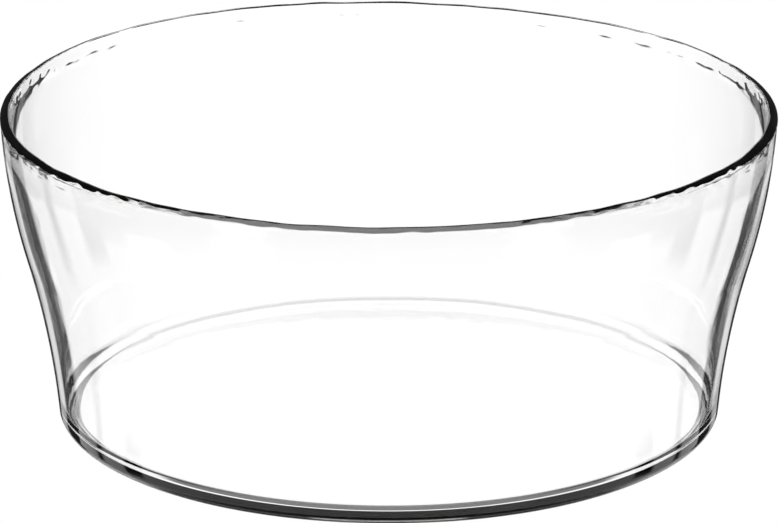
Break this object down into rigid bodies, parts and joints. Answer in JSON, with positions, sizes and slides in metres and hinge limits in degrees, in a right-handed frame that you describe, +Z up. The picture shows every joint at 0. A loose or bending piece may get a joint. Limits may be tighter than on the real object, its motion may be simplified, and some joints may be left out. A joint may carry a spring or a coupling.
{
  "type": "crystallizing dish",
  "caption": "Round flat-bottomed dish of clear laboratory glass, flared wall with a soft S-curve, rounded heel and fire-polished lip, no spout.",
  "frame": {"origin": "centre of the plane that the dish rests on", "axes": "+Z up along the dish's axis, out of its mouth; X and Y are alike, because the dish is round"},
  "size_m": [0.19, 0.19, 0.078],
  "materials": {
    "clear_glass": "fire-polished clear borosilicate glass, colourless"
  },
  "bodies": {
    "root": {"dish": "clear_glass"}
  },
  "joints": []
}
